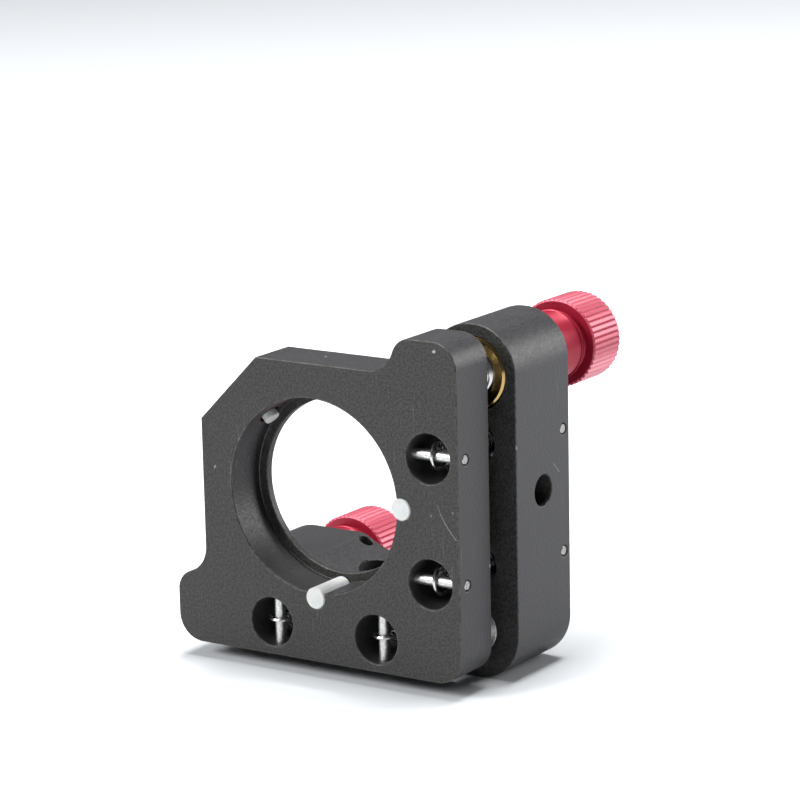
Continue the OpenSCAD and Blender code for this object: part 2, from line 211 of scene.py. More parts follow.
def group_tree(name, inputs, outputs):
    """A new shader node group with its sockets. Returns the tree, its input and output nodes."""
    tree = bpy.data.node_groups.new(name, "ShaderNodeTree")
    for label, kind, default in inputs:
        socket = tree.interface.new_socket(label, in_out="INPUT", socket_type=kind)
        if default is not None:
            socket.default_value = default
    for label, kind in outputs:
        tree.interface.new_socket(label, in_out="OUTPUT", socket_type=kind)
    return tree, tree.nodes.new("NodeGroupInput"), tree.nodes.new("NodeGroupOutput")


def math_node(tree, operation, a, b=None, clamp=False):
    """A Math node; a and b are sockets or numbers. Returns its output."""
    node = tree.nodes.new("ShaderNodeMath")
    node.operation = operation
    node.use_clamp = clamp
    for socket, value in zip(node.inputs, (a, b)):
        if value is None:
            continue
        if isinstance(value, bpy.types.NodeSocket):
            tree.links.new(value, socket)
        else:
            socket.default_value = value
    return node.outputs[0]


def vector_node(tree, operation, a, b=None):
    """A Vector Math node between sockets. Returns its output."""
    node = tree.nodes.new("ShaderNodeVectorMath")
    node.operation = operation
    tree.links.new(a, node.inputs[0])
    if b is not None:
        tree.links.new(b, node.inputs["Scale" if operation == "SCALE" else 1])
    return node.outputs["Value" if operation in ("DOT_PRODUCT", "LENGTH") else "Vector"]


def noise(tree, vector, scale, detail=2.0, rough=0.5):
    """A Noise Texture; scale is a socket or a number. Returns its value."""
    node = tree.nodes.new("ShaderNodeTexNoise")
    node.inputs["Detail"].default_value = detail
    node.inputs["Roughness"].default_value = rough
    tree.links.new(vector, node.inputs["Vector"])
    if isinstance(scale, bpy.types.NodeSocket):
        tree.links.new(scale, node.inputs["Scale"])
    else:
        node.inputs["Scale"].default_value = scale
    return node.outputs["Fac"]


def spread(tree, value, from_low, from_high, to_low, to_high):
    """Maps a value from one range to another, clamped."""
    node = tree.nodes.new("ShaderNodeMapRange")
    tree.links.new(value, node.inputs["Value"])
    for label, number in (("From Min", from_low), ("From Max", from_high),
                          ("To Min", to_low), ("To Max", to_high)):
        if isinstance(number, bpy.types.NodeSocket):
            tree.links.new(number, node.inputs[label])
        else:
            node.inputs[label].default_value = number
    return node.outputs["Result"]


def blasted_skin():
    """Bead-blasted grain: fine specks, a slow mottle, and the height of both."""
    name = "Blasted skin"
    if name in bpy.data.node_groups:
        return bpy.data.node_groups[name]
    tree, source, result = group_tree(
        name,
        [("Vector", "NodeSocketVector", None), ("Grain Scale", "NodeSocketFloat", 5200.0),
         ("Contrast", "NodeSocketFloat", 0.3)],
        [("Shade", "NodeSocketFloat"), ("Height", "NodeSocketFloat")])
    vector = source.outputs["Vector"]
    fine = noise(tree, vector, source.outputs["Grain Scale"], 3.0, 0.6)
    slow = noise(tree, vector, MOTTLE_SCALE, 2.0)
    centred = math_node(tree, "SUBTRACT", spread(tree, fine, 0.38, 0.62, 0.0, 1.0), 0.5)
    specks = math_node(tree, "MULTIPLY", centred, source.outputs["Contrast"])
    mottle = math_node(tree, "MULTIPLY", math_node(tree, "SUBTRACT", slow, 0.5), MOTTLE_CONTRAST)
    shade = math_node(tree, "ADD", math_node(tree, "ADD", specks, mottle), 1.0)
    tree.links.new(shade, result.inputs["Shade"])
    tree.links.new(fine, result.inputs["Height"])
    return tree


def turning_marks():
    """Fine rings left by a lathe, about the object's own Y axis."""
    name = "Turning marks"
    if name in bpy.data.node_groups:
        return bpy.data.node_groups[name]
    tree, source, result = group_tree(
        name,
        [("Vector", "NodeSocketVector", None), ("Ring Scale", "NodeSocketFloat", 9000.0)],
        [("Shade", "NodeSocketFloat"), ("Height", "NodeSocketFloat")])
    parts = tree.nodes.new("ShaderNodeSeparateXYZ")
    tree.links.new(source.outputs["Vector"], parts.inputs[0])
    x, y, z = parts.outputs
    square = math_node(tree, "ADD", math_node(tree, "MULTIPLY", x, x),
                       math_node(tree, "MULTIPLY", z, z))
    along = math_node(tree, "ADD", math_node(tree, "SQRT", square), y)
    joined = tree.nodes.new("ShaderNodeCombineXYZ")
    tree.links.new(along, joined.inputs[0])
    rings = noise(tree, joined.outputs[0], source.outputs["Ring Scale"], 2.0, 0.6)
    patches = noise(tree, source.outputs["Vector"], PATCH_SCALE, 3.0)
    shade = math_node(tree, "ADD", spread(tree, rings, 0.3, 0.7, 0.9, 1.0),
                      spread(tree, patches, 0.3, 0.7, -0.06, 0.06))
    tree.links.new(shade, result.inputs["Shade"])
    tree.links.new(rings, result.inputs["Height"])
    return tree


def handling_marks():
    """Faint scuffs: long thin streaks that only show here and there."""
    name = "Handling marks"
    if name in bpy.data.node_groups:
        return bpy.data.node_groups[name]
    tree, source, result = group_tree(
        name, [("Vector", "NodeSocketVector", None), ("Amount", "NodeSocketFloat", 0.3)],
        [("Mask", "NodeSocketFloat")])
    stretched = tree.nodes.new("ShaderNodeMapping")
    stretched.inputs["Rotation"].default_value = (0.3, 0.7, 0.2)
    stretched.inputs["Scale"].default_value = (1.0, 1.0, 0.06)
    tree.links.new(source.outputs["Vector"], stretched.inputs["Vector"])
    streak = spread(tree, noise(tree, stretched.outputs[0], STREAK_SCALE, 1.0),
                    0.66, 0.74, 0.0, 1.0)
    where = spread(tree, noise(tree, source.outputs["Vector"], SCUFF_AREA_SCALE, 2.0),
                   0.52, 0.66, 0.0, 1.0)
    mask = math_node(tree, "MULTIPLY", math_node(tree, "MULTIPLY", streak, where),
                     source.outputs["Amount"])
    tree.links.new(mask, result.inputs["Mask"])
    return tree


def short_scratch():
    """Mask of a thin ragged scratch between two places, or of a nick where they nearly meet."""
    name = "Short scratch"
    if name in bpy.data.node_groups:
        return bpy.data.node_groups[name]
    tree, source, result = group_tree(
        name,
        [("Vector", "NodeSocketVector", None), ("Start", "NodeSocketVector", (0, 0, 0)),
         ("End", "NodeSocketVector", (0, 0, 0.001)), ("Width", "NodeSocketFloat", 0.0001)],
        [("Mask", "NodeSocketFloat")])
    vector, start, end, width = (source.outputs[k] for k in ("Vector", "Start", "End", "Width"))
    offset = vector_node(tree, "SUBTRACT", vector, start)
    along = vector_node(tree, "SUBTRACT", end, start)
    share = math_node(tree, "DIVIDE", vector_node(tree, "DOT_PRODUCT", offset, along),
                      vector_node(tree, "DOT_PRODUCT", along, along), clamp=True)
    nearest = vector_node(tree, "SCALE", along, share)
    away = vector_node(tree, "LENGTH", vector_node(tree, "SUBTRACT", offset, nearest))
    ragged = math_node(tree, "MULTIPLY", width, spread(
        tree, noise(tree, vector, RAGGED_SCALE, 1.0), 0.3, 0.7, 0.35, 1.0))
    inner = math_node(tree, "MULTIPLY", ragged, SCRATCH_CORE)
    tree.links.new(spread(tree, away, inner, ragged, 1.0, 0.0), result.inputs["Mask"])
    return tree


# ---------------------------------------------------------------- materials


class Recipe:
    """Nodes of one material, with short ways to add to them."""

    def __init__(self, name, colour_, roughness, metallic=0.0):
        self.material = bpy.data.materials.new(name)
        self.material.use_nodes = True
        self.tree = self.material.node_tree
        self.shader = self.tree.nodes["Principled BSDF"]
        self.colour = (*colour_, 1.0)
        self.shader.inputs["Base Color"].default_value = self.colour
        self.shader.inputs["Roughness"].default_value = roughness
        self.shader.inputs["Metallic"].default_value = metallic
        self.roughness = roughness
        self.place = self.tree.nodes.new("ShaderNodeTexCoord").outputs["Object"]

    def set(self, **values):
        """Sets inputs of the shader; an underscore stands for a space."""
        for label, value in values.items():
            self.shader.inputs[label.replace("_", " ")].default_value = value
        return self

    def group(self, tree, **values):
        """Adds a shader group at the object's own coordinates, with these inputs."""
        node = self.tree.nodes.new("ShaderNodeGroup")
        node.node_tree = tree
        self.tree.links.new(self.place, node.inputs["Vector"])
        for label, value in values.items():
            node.inputs[label.replace("_", " ")].default_value = value
        return node

    def shaded(self, shade):
        """The material's colour times a shade."""
        node = self.tree.nodes.new("ShaderNodeMix")
        node.data_type, node.blend_type = "RGBA", "MULTIPLY"
        node.inputs["Factor"].default_value = 1.0
        node.inputs["A"].default_value = self.colour
        self.tree.links.new(shade, node.inputs["B"])
        return node.outputs["Result"]

    def tinted(self, base, tint, mask):
        """A colour with a tint over it where the mask is bright."""
        node = self.tree.nodes.new("ShaderNodeMix")
        node.data_type = "RGBA"
        self.tree.links.new(base, node.inputs["A"])
        node.inputs["B"].default_value = (*tint, 1.0)
        self.tree.links.new(mask, node.inputs["Factor"])
        return node.outputs["Result"]

    def nicked(self, base):
        """Lays bare metal over a colour at each small nick and scratch."""
        for start, end, width, share in WEAR:
            mark = self.group(short_scratch(), Start=start, End=end, Width=width)
            mask = math_node(self.tree, "MULTIPLY", mark.outputs["Mask"], share)
            base = self.tinted(base, finishes().bare, mask)
        return base

    def paint(self, socket):
        self.tree.links.new(socket, self.shader.inputs["Base Color"])

    def bump(self, height, strength, depth_mm):
        node = self.tree.nodes.new("ShaderNodeBump")
        node.inputs["Strength"].default_value = strength
        node.inputs["Distance"].default_value = depth_mm * MM
        self.tree.links.new(height, node.inputs["Height"])
        self.tree.links.new(node.outputs["Normal"], self.shader.inputs["Normal"])

    def vary_roughness(self, value, by):
        """Lets the roughness follow a value, up and down by an amount."""
        result = spread(self.tree, value, 0.3, 0.7, self.roughness - by, self.roughness + by)
        self.tree.links.new(result, self.shader.inputs["Roughness"])


def surfaced(name, colour_, roughness, metallic, tree, bump=None, vary=None, **settings):
    """A finish with the shade and height of one shader group. The bump is a strength and a depth
    in mm; vary is how far the roughness goes up and down."""
    recipe = Recipe(name, colour_, roughness, metallic)
    skin = recipe.group(tree, **settings)
    recipe.paint(recipe.shaded(skin.outputs["Shade"]))
    if bump:
        recipe.bump(skin.outputs["Height"], *bump)
    if vary:
        recipe.vary_roughness(skin.outputs["Height"], vary)
    return recipe


def once(builder):
    """Keeps one material per builder, named apart from the plain materials of the frame."""
    def get():
        name = builder.__name__ + "_finish"
        if name not in bpy.data.materials:
            made = builder(name)
            assert made.name == name
        return bpy.data.materials[name]
    return get


def anodised(name, colour_, grain, contrast, bump, scuff):
    """Anodised aluminium with a blasted grain, faint scuffs and a few nicks."""
    recipe = Recipe(name, colour_, 0.46)
    skin = recipe.group(blasted_skin(), Grain_Scale=grain, Contrast=contrast)
    scuffs = recipe.group(handling_marks(), Amount=scuff)
    shade = recipe.shaded(skin.outputs["Shade"])
    recipe.paint(recipe.nicked(recipe.tinted(shade, finishes().bare, scuffs.outputs["Mask"])))
    recipe.bump(skin.outputs["Height"], bump, 0.12)
    recipe.vary_roughness(skin.outputs["Height"], 0.08)
    return recipe.set(Specular_IOR_Level=0.36).material


@once
def black_anodise(name):
    return anodised(name, finishes().black, 3200.0, 1.1, 0.9, 0.1)


@once
def black_flank(name):
    return anodised(name, finishes().flank, 2600.0, 0.5, 0.4, 0.08)


# Broken edges: scuffs and wear, with a lighter colour that is partly a painted highlight
@once
def black_edge(name):
    return anodised(name, finishes().edge, 1500.0, 1.1, 0.6, 0.6)


@once
def red_anodise(name):
    return surfaced(name, finishes().red, 0.42, 0.3, turning_marks(), (0.12, 0.02), 0.06,
                    Ring_Scale=7000.0).set(Coat_Weight=0.35, Coat_Roughness=0.4).material


# The knob red with painted shade, for the hubs and the heads' front faces
@once
def deep_red_anodise(name):
    return surfaced(name, finishes().deep_red, 0.32, 0.3, turning_marks(), (0.1, 0.02),
                    Ring_Scale=7000.0).set(Specular_IOR_Level=0.4).material


# Brass with painted shade: its colour is lowered for the shade between the plates
@once
def brass(name):
    return surfaced(name, finishes().brass, 0.15, 1.0, turning_marks(), (0.06, 0.02),
                    Ring_Scale=9000.0).material


@once
def turned_steel(name):
    return surfaced(name, finishes().steel, 0.25, 1.0, turning_marks(), (0.1, 0.015),
                    Ring_Scale=9000.0).material


@once
def drawn_wire(name):
    return surfaced(name, finishes().steel, 0.22, 1.0, blasted_skin(), vary=0.07,
                    Grain_Scale=1800.0, Contrast=0.2).material


@once
def ground_steel(name):
    return surfaced(name, finishes().steel, 0.42, 1.0, blasted_skin(), (0.1, 0.01),
                    Grain_Scale=3000.0, Contrast=0.35).material


@once
def ground_end(name):
    return surfaced(name, finishes().worn_steel, 0.5, 1.0, blasted_skin(), (0.3, 0.03),
                    Grain_Scale=4000.0, Contrast=0.5).material


@once
def black_oxide(name):
    return surfaced(name, finishes().oxide, 0.38, 0.4, blasted_skin(),
                    Grain_Scale=2600.0, Contrast=0.4).material


@once
def nylon(name):
    recipe = surfaced(name, finishes().nylon, 0.42, 0.0, blasted_skin(), (0.08, 0.02),
                      Grain_Scale=900.0, Contrast=0.06)
    return recipe.set(Subsurface_Weight=0.25, Subsurface_Scale=0.0008).material


@once
def studio_floor(name):
    recipe = Recipe(name, bpy.context.scene.mount_stage.floor, 0.85)
    recipe.paint(recipe.shaded(spread(
        recipe.tree, noise(recipe.tree, recipe.place, 3.0, 2.0), 0.3, 0.7, 0.985, 1.0)))
    return recipe.material


# ---------------------------------------------------------------- meshes

SMOOTH_ANGLE = math.radians(32)
MERGE_MM = 0.06  # points of a CAD mesh nearer than this become one
FLAT_ANGLE = math.radians(0.4)  # triangles within this angle become one face
BREAK_ANGLE = math.radians(33)  # edges sharper than this are broken
FACING = 0.9  # least part of a normal along an axis for a face to count as across it
CAP = 0.3  # radius in mm of the innermost row of an end or a socket
CORE_CAP = 0.1  # the same for a thin pin


def add_object(name, mesh, materials):
    """Links a mesh as a new object with its materials."""
    for material in materials:
        mesh.materials.append(material)
    obj = bpy.data.objects.new(name, mesh)
    bpy.context.scene.collection.objects.link(obj)
    return obj


def finish_shading(mesh, angle=SMOOTH_ANGLE):
    """Shades a mesh smooth, up to an angle."""
    mesh.shade_smooth()
    mesh.set_sharp_from_angle(angle=angle)


def mesh_piece(name, vertices, faces, material, origin=(0, 0, 0), angle=SMOOTH_ANGLE):
    """An object from millimetre points about an origin, also in millimetres."""
    mesh = bpy.data.meshes.new(name)
    mesh.from_pydata([Vector(v) * MM for v in vertices], [], faces)
    mesh.validate()
    work = bmesh.new()
    work.from_mesh(mesh)
    bmesh.ops.remove_doubles(work, verts=work.verts, dist=1e-7)
    bmesh.ops.recalc_face_normals(work, faces=work.faces)
    work.to_mesh(mesh)
    work.free()
    finish_shading(mesh, angle)
    obj = add_object(name, mesh, [material])
    obj.location = Vector(origin) * MM
    return obj


def stands_for(obj, body, slot, *nodes):
    """Hides what a piece replaces and attaches it to the body it rides on. The slot is not used."""
    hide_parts(*nodes)
    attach(obj, body)


def broken_edges(node, name, width_mm, materials, segments=2):
    """A copy of a CAD node with its sharp edges broken. Its materials are for the faces across Y,
    for the flanks and for the broken edges. Fewer may be given, and the last is then reused."""
    last = len(materials) - 1
    work = bmesh.new()
    work.from_mesh(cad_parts[node].data)
    bmesh.ops.remove_doubles(work, verts=work.verts, dist=MERGE_MM * MM)
    bmesh.ops.dissolve_degenerate(work, dist=1e-6, edges=work.edges)
    bmesh.ops.dissolve_limit(
        work, angle_limit=FLAT_ANGLE, use_dissolve_boundaries=False,
        verts=work.verts, edges=work.edges, delimit=set())
    for face in work.faces:
        face.material_index = 0 if abs(face.normal.y) > FACING else min(1, last)
    mesh = bpy.data.meshes.new(name)
    work.to_mesh(mesh)
    work.free()
    obj = add_object(name, mesh, materials)
    bevel = obj.modifiers.new("edge_break", "BEVEL")
    bevel.width = width_mm * MM
    bevel.segments = segments
    bevel.limit_method = "ANGLE"
    bevel.angle_limit = BREAK_ANGLE
    bevel.use_clamp_overlap = False
    bevel.miter_outer = "MITER_ARC"
    bevel.material = last
    weighted = obj.modifiers.new("flat_faces", "WEIGHTED_NORMAL")
    weighted.mode = "FACE_AREA"
    weighted.weight = 100
    weighted.keep_sharp = True
    finish_shading(obj.data)
    bpy.context.view_layer.update()
    graph = bpy.context.evaluated_depsgraph_get()
    final = bpy.data.meshes.new_from_object(obj.evaluated_get(graph))
    final.name = name
    obj.modifiers.clear()
    obj.data = final
    bpy.data.meshes.remove(mesh)
    return obj


def hexagon(angle, inscribed):
    """Radius of a hexagon with this inscribed radius, at an angle."""
    return inscribed / math.cos((angle + math.pi / 6) % (math.pi / 3) - math.pi / 6)


def ridge(angle, radius):
    """Radius under the knurl: full on a ridge, less in the narrow groove between ridges."""
    turn = (angle * sizes().knurl_ridges / (2 * math.pi)) % 1.0
    rise = abs(2 * turn - 1)
    crest = min(1.0, 2.0 * rise)
    return radius - sizes().knurl_depth * (1 - crest)


def turned(rows, steps, closed=False):
    """A turned form about Y. Each row is (radius, y) or (radius, y, kind, limit)."""
    vertices, faces = [], []
    for row in rows:
        radius, y = row[:2]
        kind = row[2] if len(row) > 2 else "round"
        for i in range(steps):
            angle = 2 * math.pi * i / steps
            if kind == "hex":
                r = hexagon(angle, radius)
            elif kind == "knurl":
                r = min(radius, ridge(angle, row[3]))
            else:
                r = radius
            vertices.append((r * math.cos(angle), y, r * math.sin(angle)))
    count = len(rows)
    for j in range(count if closed else count - 1):
        k = (j + 1) % count
        for i in range(steps):
            n = (i + 1) % steps
            faces.append((j * steps + i, j * steps + n, k * steps + n, k * steps + i))
    if not closed:
        faces.append(tuple(range(steps)))
        faces.append(tuple((count - 1) * steps + i for i in range(steps)))
    return vertices, faces


def thread(y_start, y_end, crest, root, pitch, steps):
    """A helical ridge between two planes. Its ends go under the core by THREAD_RUNOUT."""
    rows = int(2 * (y_end - y_start) / pitch) + 3
    vertices = []
    for j in range(rows):
        for i in range(steps):
            angle = 2 * math.pi * i / steps
            y = y_start + pitch * (j / 2 + i / steps - 1)
            inside = y_start < y < y_end
            r = (crest if j % 2 else root) if inside else root - THREAD_RUNOUT
            y = min(max(y, y_start), y_end)
            vertices.append((r * math.cos(angle), y, r * math.sin(angle)))
    faces = []
    for j in range(rows - 1):
        for i in range(steps - 1):
            a = j * steps + i
            faces.append((a, a + 1, a + 1 + steps, a + steps))
        if j + 3 < rows:
            a, b = j * steps + steps - 1, (j + 2) * steps
            faces.append((a, b, b + steps, a + steps))
    return vertices, faces


def tube(points, radius, sides):
    """A round wire along a path, with closed ends."""
    points = [Vector(p) for p in points]
    vertices, faces = [], []
    across = None
    for i, point in enumerate(points):
        ahead = points[min(i + 1, len(points) - 1)] - points[max(i - 1, 0)]
        ahead.normalize()
        if across is None:
            across = ahead.orthogonal().normalized()
        across = (across - ahead * across.dot(ahead)).normalized()
        up = ahead.cross(across)
        for k in range(sides):
            a = 2 * math.pi * k / sides
            vertices.append(point + (across * math.cos(a) + up * math.sin(a)) * radius)
    for i in range(len(points) - 1):
        for k in range(sides):
            n = (k + 1) % sides
            faces.append((i * sides + k, i * sides + n, (i + 1) * sides + n, (i + 1) * sides + k))
    faces.append(tuple(range(sides)))
    faces.append(tuple((len(points) - 1) * sides + k for k in range(sides)))
    return vertices, faces


def joined(*parts):
    """Several (vertices, faces) as one."""
    vertices, faces = [], []
    for more_vertices, more_faces in parts:
        base = len(vertices)
        vertices += list(more_vertices)
        faces += [tuple(base + i for i in face) for face in more_faces]
    return vertices, faces


# ---------------------------------------------------------------- the pieces, in millimetres

# Front end of a nylon rod: how far inside its full radius, and how far behind its end
ROD_NOSE = ((0.3, 0.0), (0.12, 0.04), (0.0, 0.2))
ROD_CHAMFER = 0.1
TIP_ROUND = 0.25
PIN_STEP, PIN_END, PIN_EDGE = 0.13, 0.4, 0.05  # the thinner ends of a cross pin
HOOK_LEAN, HOOK_STEP, HOOK_POINTS = 0.12, 12, 29  # sideways lean in mm, step in degrees
COIL_STEPS = 24
CROSSOVER_STEPS, CROSSOVER_POWER, CROSSOVER_LEAD = 8, 0.7, 0.02
WIRE_SIDES = 8
BUSHING_CLEAR, BUSHING_MOUTH, BUSHING_FRONT, BUSHING_REAR = 0.05, 0.5, (0.5, 0.4), 0.2
THREAD_DEPTH, THREAD_RUNOUT = 0.14, 0.08
CREST_CLEAR, ROOT_SINK = 0.005, 0.01
THREAD_START, THREAD_IN_KNOB = 0.3, 1.0
SCREW_NOSE, SCREW_TAIL = (0.5, 0.4), 0.25
# Ball socket at the front of a fine screw: radius, distance behind the front end
BALL_SOCKET = ((CAP, 1.0), (1.86, 0.9), (1.86, 0.05), (1.95, 0.0))
# Hexagon socket at its rear: radius, distance in front of the rear end, form
HEX_SOCKET = ((1.62, 0.0, "round"), (1.44, 0.14, "hex"), (1.25, 0.2, "hex"), (1.25, 3.0, "hex"),
              (CAP, 3.2, "round"))
HUB_RADIUS, HUB_LENGTH = 4.7, 6.0
KNOB_FIT, KNOB_MOUTH = 0.01, 0.3
# Hub, collar and neck of a knob: how far outside the hub's radius, distance from the front end
HUB_ROWS = ((-0.2, 0.0), (-0.06, 0.06), (0.0, 0.2), (0.0, 4.62), (0.04, 4.68), (0.19, 4.7),
            (0.25, 4.76), (0.25, 4.98), (0.2, 5.05), (-0.2, 5.08))
NECK_DROP, NECK_FILLET = 0.2, 0.1
HEAD_FACE = (0.45, 0.4)  # the head's front face ends this far inside its full radius
HEAD_NOSE, HEAD_NOSE_DEPTH, NOSE_STEPS = 0.3, 0.12, 4
HEAD_TAIL, TAIL_INSET, TAIL_DEPTH, TAIL_STEPS = 0.5, 0.45, 0.42, 8
# Rear face of a knob: how far inside the full radius or outside the bore, distance from the rear
HEAD_REAR = ((0.55, 0.02), (0.68, 0.0))
KNOB_REAR = ((0.45, 0.0), (0.3, 0.06), (0.0, 0.3))
FACE_MARGIN = 0.01  # the darker red of the painted shade ends this far behind the head's front face
KNURL_STEPS = 8  # points round each ridge
KNOB_SMOOTH_ANGLE = math.radians(40)
BALL_ROWS = 24
STEPS_ROUND = {"rod": 48, "pin": 32, "bushing": 96, "screw": 96, "thread": 48, "ball": 48}


class MOUNT_OT_plates(bpy.types.Operator):
    """Build both anodised plates with broken edges"""

    bl_idname = "mount.plates"
    bl_label = "Plates"

    def execute(self, context):
        for node, body in (("front_plate", "front"), ("back_plate", "base")):
            obj = broken_edges(node, node + "_finished", sizes().edge_break,
                               [black_anodise(), black_flank(), black_edge()])
            stands_for(obj, body, "black_anodise", node)
        return {"FINISHED"}


class MOUNT_OT_optic_seat(bpy.types.Operator):
    """Build the nylon rods, the set screw and its nylon tip"""

    bl_idname = "mount.optic_seat"
    bl_label = "Optic seat"

    def execute(self, context):
        small = sizes().small_edge_break
        for side in ("side", "lower"):
            node = side + "_locating_rod"
            low, high = span(node, 1)
            x_low, x_high = span(node, 0)
            radius, centre = (x_high - x_low) / 2, middle(node)
            rows = [(CAP, low), *((radius - inset, low + depth) for inset, depth in ROD_NOSE),
                    (radius, high - ROD_CHAMFER), (radius - ROD_CHAMFER, high)]
            obj = mesh_piece(side + "_rod", *turned(rows, STEPS_ROUND["rod"]), nylon(),
                             (centre.x, 0, centre.z))
            stands_for(obj, "front", "nylon", node)
        obj = broken_edges("optic_set_screw", "set_screw", small, [black_oxide()])
        stands_for(obj, "optic_screw", "black_steel", "optic_set_screw")
        obj = broken_edges("optic_screw_tip", "screw_tip", TIP_ROUND, [nylon()], 3)
        stands_for(obj, "optic_tip", "nylon", "optic_screw_tip")
        return {"FINISHED"}


class MOUNT_OT_pins(bpy.types.Operator):
    """Build the eight cross pins that the springs hook over"""

    bl_idname = "mount.pins"
    bl_label = "Cross pins"

    def execute(self, context):
        for plate, body in (("front", "front"), ("back", "base")):
            for place, axis in SPRINGS.items():
                node = f"{plate}_pin_{place}"
                along = 0 if axis == "x" else 2
                low, high = span(node, along)
                y_low, y_high = span(node, 1)
                radius, centre = (y_high - y_low) / 2, middle(node)
                inner = radius - PIN_STEP
                end = [(CORE_CAP, 0), (inner - PIN_EDGE, 0), (inner, PIN_EDGE), (inner, PIN_END),
                       (radius, PIN_END + PIN_EDGE)]
                rows = [(r, low + depth) for r, depth in end]
                rows += [(r, high - depth) for r, depth in reversed(end)]
                vertices, faces = turned(rows, STEPS_ROUND["pin"])
                if axis == "x":
                    vertices = [(y, -x, z) for x, y, z in vertices]
                    origin = (0, centre.y, centre.z)
                else:
                    vertices = [(x, -z, y) for x, y, z in vertices]
                    origin = (centre.x, centre.y, 0)
                obj = mesh_piece(f"{plate}_pin_{place}_turned", vertices, faces,
                                 ground_steel(), origin)
                obj.data.materials.append(ground_end())
                for face in obj.data.polygons:
                    if abs(face.normal[along]) > FACING:
                        face.material_index = 1
                stands_for(obj, body, "pin_steel", node)
        return {"FINISHED"}


def spring_path(low, high, coil_radius, wire, pitch):
    """Centre line of a whole spring along Y: hook, coil, hook. The hooks stand in the YZ plane."""
    hook = coil_radius
    start, end = low + wire / 2 + 2 * hook, high - wire / 2 - 2 * hook
    turns = max(int((end - start - wire) / pitch), 1)
    pitch = (end - start - wire) / turns
    coil_start, path = start + wire / 2, []

    def ring(centre, sign):
        return [(HOOK_LEAN * math.sin(a) * sign, centre + sign * hook * math.cos(a),
                 -hook * math.sin(a))
                for a in (math.radians(HOOK_STEP * k) for k in range(HOOK_POINTS))]

    def crossover(y_from, y_to, sign):
        points = []
        for k in range(1, CROSSOVER_STEPS):
            t = k / CROSSOVER_STEPS
            a = sign * t * math.pi / 2
            r = coil_radius * math.cos(t * math.pi / 2) ** CROSSOVER_POWER
            points.append((r * math.cos(a), y_from + (y_to - y_from) * t, r * math.sin(a)))
        return points

    front_ring = ring(low + wire / 2 + hook, 1)
    rear_ring = [(x, y, -z) for x, y, z in ring(high - wire / 2 - hook, -1)]
    path += front_ring[::-1]
    path += crossover(coil_start, start - CROSSOVER_LEAD, 1)[::-1]
    for k in range(COIL_STEPS * turns + 1):
        a = 2 * math.pi * k / COIL_STEPS
        path.append((coil_radius * math.cos(a), coil_start + pitch * k / COIL_STEPS,
                     -coil_radius * math.sin(a)))
    path += crossover(coil_start + pitch * turns, end + CROSSOVER_LEAD, -1)
    path += rear_ring
    return path


class MOUNT_OT_springs(bpy.types.Operator):
    """Wind the four extension springs, each in two halves"""

    bl_idname = "mount.springs"
    bl_label = "Springs"

    def execute(self, context):
        wire = sizes().wire
        for place, axis in SPRINGS.items():
            node = place + "_spring"
            low, high = span(node, 1)
            x_low, x_high = span(node, 0)
            centre = middle(node)
            radius = (x_high - x_low) / 2 - wire / 2
            path = spring_path(low, high, radius, wire, sizes().coil_pitch)
            if axis == "z":
                path = [(z, y, -x) for x, y, z in path]
            path = [(x + centre.x, y, z + centre.z) for x, y, z in path]
            half = len(path) // 2
            for part, points in (("front", path[:half + 1]), ("back", path[half:])):
                obj = mesh_piece(f"{place}_spring_{part}", *tube(points, wire / 2, WIRE_SIDES),
                                 drawn_wire())
                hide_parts(node)
                if part == "front":
                    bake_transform(obj)
                else:
                    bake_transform(obj)
        return {"FINISHED"}


class MOUNT_OT_bushings(bpy.types.Operator):
    """Build the brass bushings in the back plate"""

    bl_idname = "mount.bushings"
    bl_label = "Bushings"

    def execute(self, context):
        for side in SIDES:
            node = side + "_bushing"
            x_low, x_high = span(node, 0)
            low, high = span(node, 1)
            radius, centre = (x_high - x_low) / 2, middle(node)
            bore = screw_radius(side) + BUSHING_CLEAR
            mouth, (inset, depth), tail = BUSHING_MOUTH, BUSHING_FRONT, BUSHING_REAR
            rows = [(bore, low + mouth), (bore + mouth, low), (radius - inset, low),
                    (radius, low + depth), (radius, high - tail), (radius - tail, high),
                    (bore + mouth, high), (bore, high - mouth)]
            form = turned(rows, STEPS_ROUND["bushing"], closed=True)
            obj = mesh_piece(side + "_bushing_turned", *form, brass(), (centre.x, 0, centre.z))
            stands_for(obj, "base", "brass", node)
        return {"FINISHED"}


def screw_radius(side):
    """Radius of a fine screw in the frame, in millimetres."""
    low, high = span(side + "_screw", 0)
    return (high - low) / 2


class MOUNT_OT_screws(bpy.types.Operator):
    """Cut the two fine screws, with thread and hexagon socket"""

    bl_idname = "mount.screws"
    bl_label = "Fine screws"

    def execute(self, context):
        pitch = sizes().fine_pitch
        for side in SIDES:
            node = side + "_screw"
            low, high = span(node, 1)
            radius, centre = screw_radius(side), middle(node)
            root = radius - THREAD_DEPTH
            inset, depth = SCREW_NOSE
            rows = [(r, low + behind) for r, behind in BALL_SOCKET]
            rows += [(radius - inset, low), (root, low + depth), (root, high - SCREW_TAIL),
                     (root - SCREW_TAIL, high)]
            rows += [(r, high - ahead, kind) for r, ahead, kind in HEX_SOCKET]
            helix = thread(low + THREAD_START, span(side + "_knob", 1)[0] + THREAD_IN_KNOB,
                           radius - CREST_CLEAR, root - ROOT_SINK, pitch, STEPS_ROUND["thread"])
            form = joined(turned(rows, STEPS_ROUND["screw"]), helix)
            obj = mesh_piece(side + "_screw_cut", *form, turned_steel(), (centre.x, 0, centre.z))
            stands_for(obj, side + "_adjuster", "steel", node)
        return {"FINISHED"}


